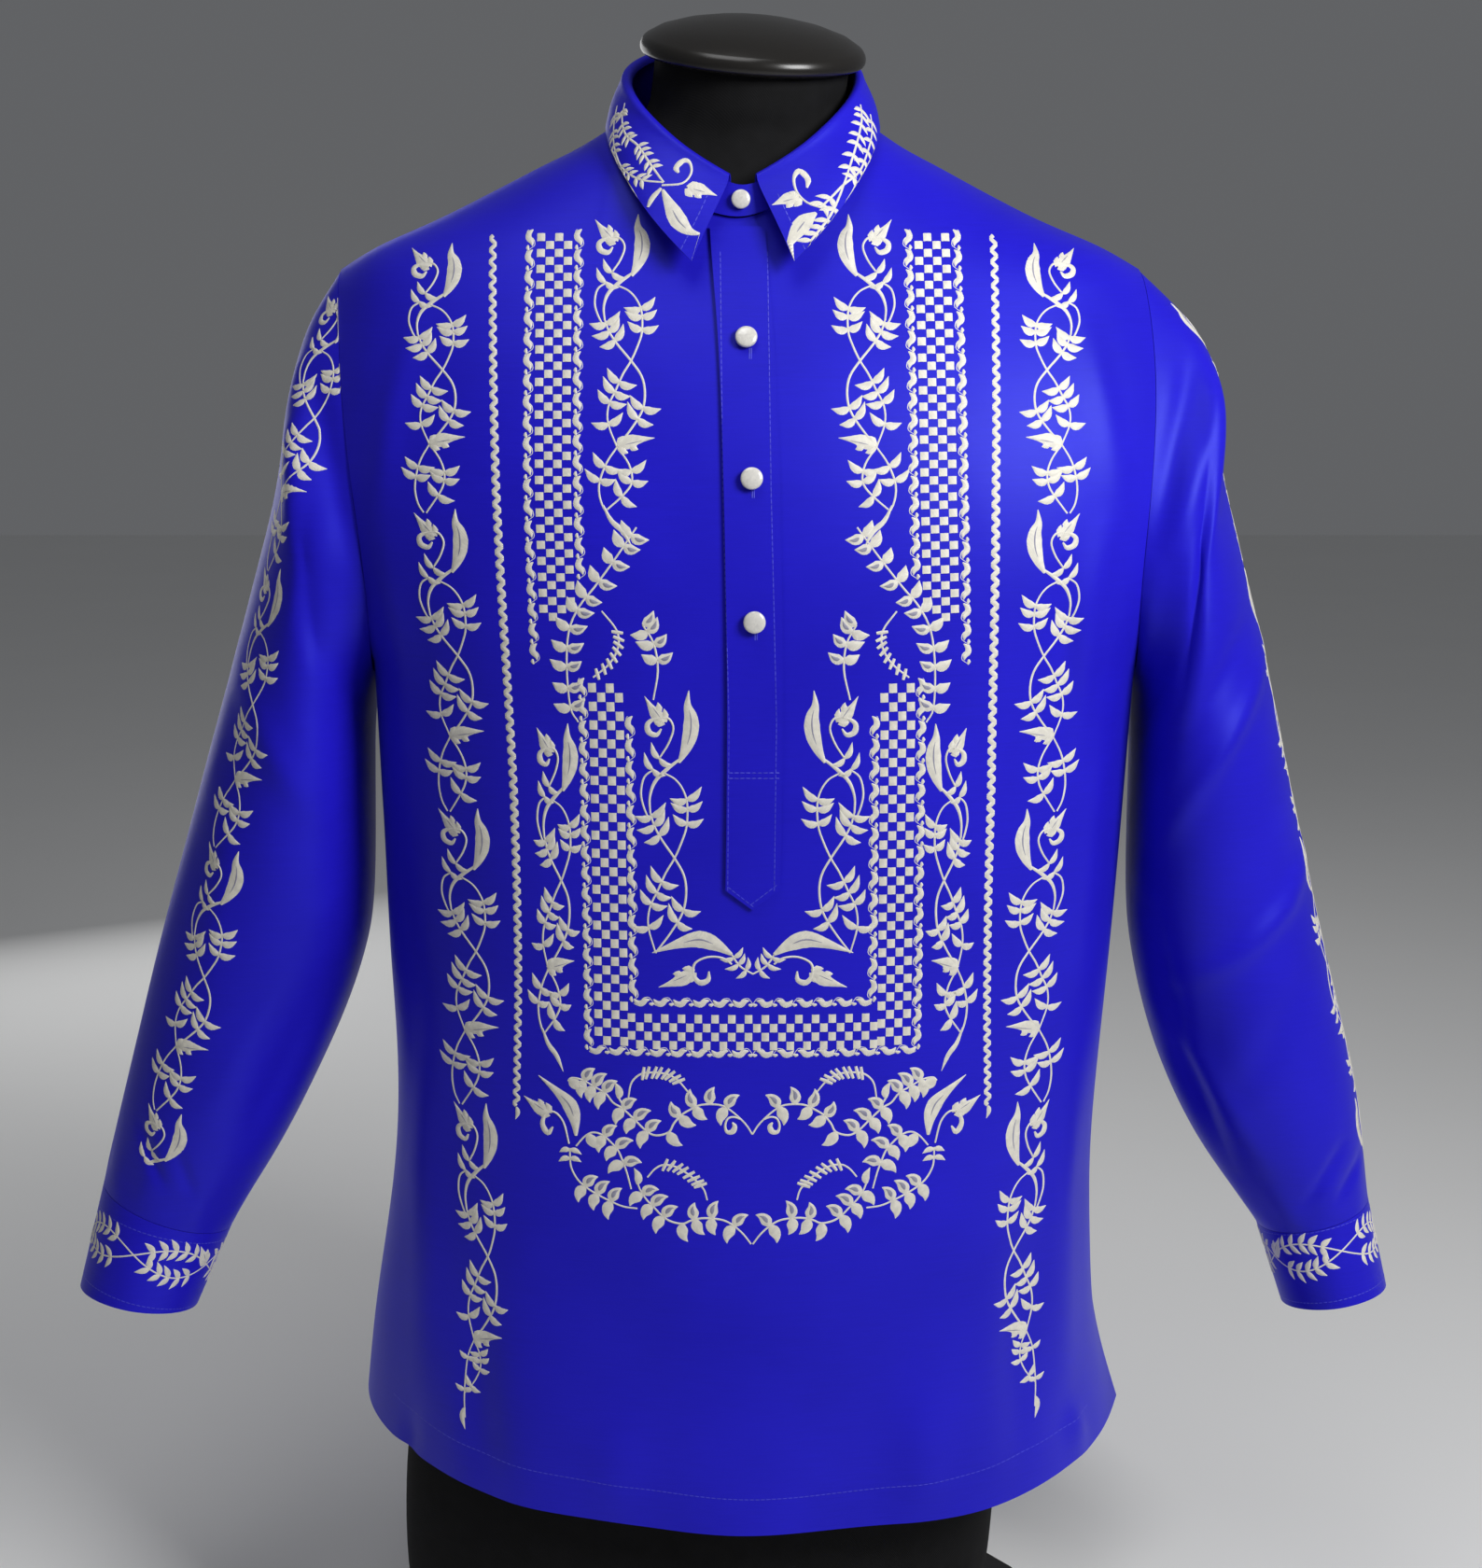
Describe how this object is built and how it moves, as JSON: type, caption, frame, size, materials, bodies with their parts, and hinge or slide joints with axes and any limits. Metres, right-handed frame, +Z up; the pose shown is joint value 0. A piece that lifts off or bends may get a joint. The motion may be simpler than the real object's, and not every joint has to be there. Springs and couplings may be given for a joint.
{
  "type": "barong tagalog shirt on a limbless dress form",
  "caption": "Long-sleeved embroidered barong tagalog pullover shirt with a turned collar, half placket and buttoned cuffs, worn by a limbless dress form on an oval board.",
  "frame": {"origin": "centre of the underside of the dress form's board", "axes": "+Z up, the shirt's front faces -Y, +X is the wearer's left"},
  "size_m": [0.7935, 0.31, 1.0185],
  "materials": {
    "blue_cloth": "soft satin",
    "pearl": "polished",
    "black_jersey": "matte",
    "black_gloss": "gloss",
    "black_board": "satin lacquer"
  },
  "bodies": {
    "root": {"front": "blue_cloth", "back": "blue_cloth", "sleeve_left": "blue_cloth", "sleeve_right": "blue_cloth", "cuff_left": "blue_cloth", "cuff_right": "blue_cloth", "collar_stand": "blue_cloth", "collar_leaf": "blue_cloth", "placket": "blue_cloth", "button_placket_1": "pearl", "button_placket_2": "pearl", "button_placket_3": "pearl", "button_collar": "pearl", "button_cuff_left": "pearl", "button_cuff_right": "pearl", "form_body": "black_jersey", "form_neck_cap": "black_gloss", "form_board": "black_board"}
  },
  "joints": []
}
